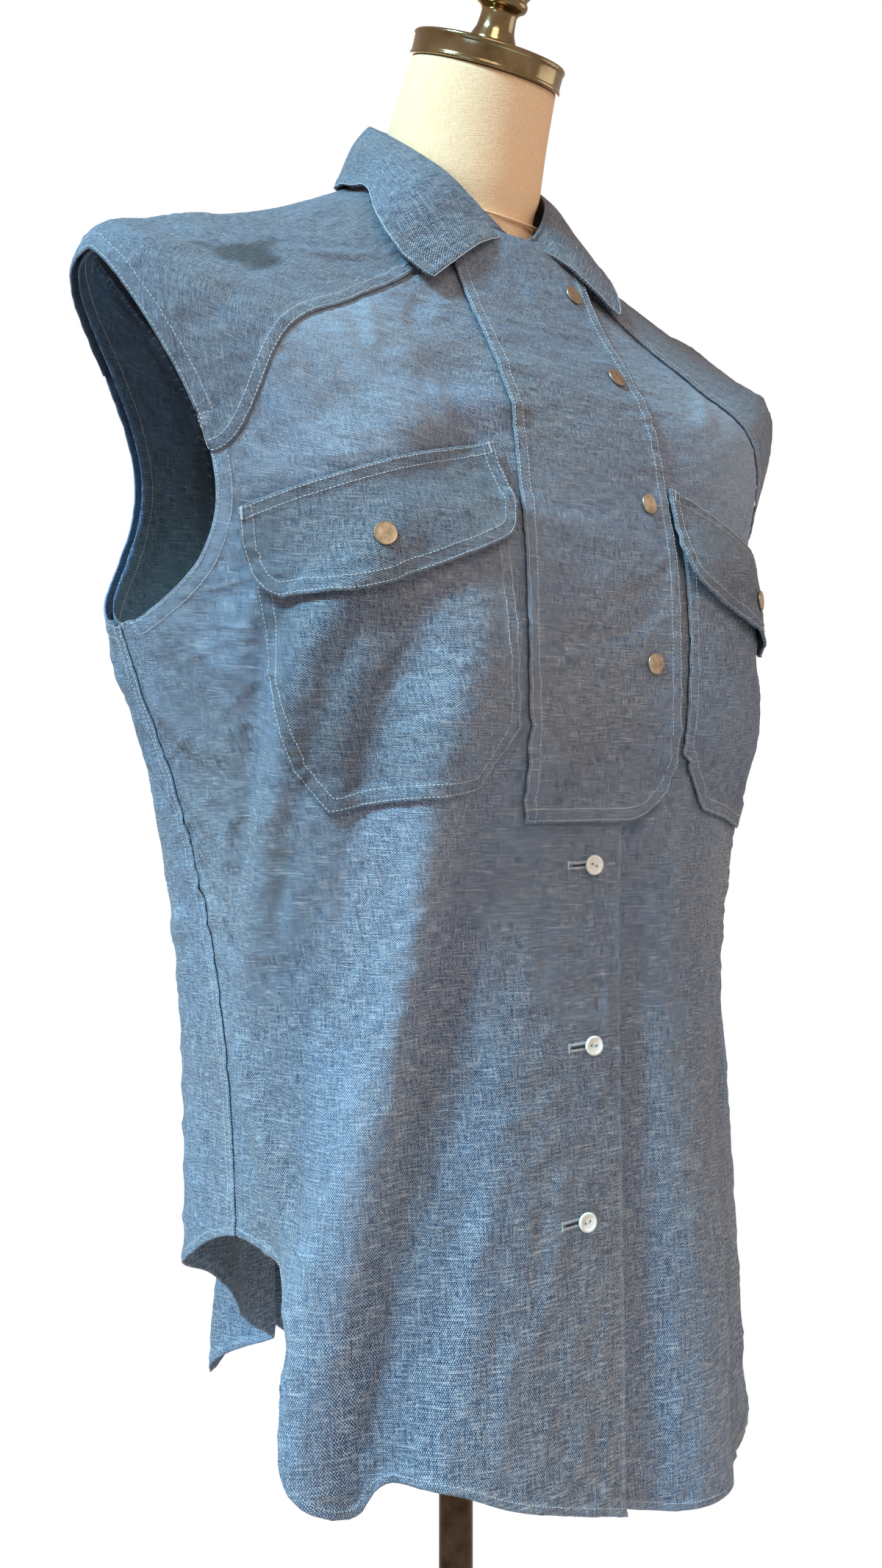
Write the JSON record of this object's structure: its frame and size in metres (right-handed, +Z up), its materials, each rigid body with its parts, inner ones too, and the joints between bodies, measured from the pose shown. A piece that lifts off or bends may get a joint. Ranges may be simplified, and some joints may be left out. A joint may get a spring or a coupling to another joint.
{
  "type": "sleeveless collared shirt on dress form",
  "caption": "Sleeveless chambray work shirt with collar, shoulder yoke, bib overlay, flap pockets and shirt-tail hem, on a limbless dress form with pole and round base.",
  "frame": {"origin": "on the floor, on the axis of the pole, at the middle of the base's underside", "axes": "+Z up; the shirt's front faces -Y; +X is the wearer's left"},
  "size_m": [0.5274, 0.4, 1.6355],
  "materials": {
    "chambray": "slubbed blue cotton chambray, matt",
    "canvas": "cream linen canvas, matt",
    "snap_brass": "antique, satin",
    "ivory": "ivory, semi-gloss",
    "antique_brass": "antique olive-brown, glossy",
    "bronzed_steel": "dark bronze, semi-gloss",
    "bronzed_iron": "dark bronze, semi-gloss"
  },
  "bodies": {
    "root": {"yoke": "chambray", "back": "chambray", "front_right": "chambray", "front_left": "chambray", "front_overlay": "chambray", "collar": "chambray", "pocket_right": "chambray", "pocket_left": "chambray", "pocket_flap_right": "chambray", "pocket_flap_left": "chambray", "armhole_facing_right": "chambray", "armhole_facing_left": "chambray", "overlay_snap_1": "snap_brass", "overlay_snap_2": "snap_brass", "overlay_snap_3": "snap_brass", "overlay_snap_4": "snap_brass", "flap_snap_right": "snap_brass", "flap_snap_left": "snap_brass", "button_1": "ivory", "button_2": "ivory", "button_3": "ivory", "dress_form": "canvas", "neck_cap": "antique_brass", "finial": "antique_brass", "pole": "bronzed_steel", "base": "bronzed_iron"}
  },
  "joints": []
}
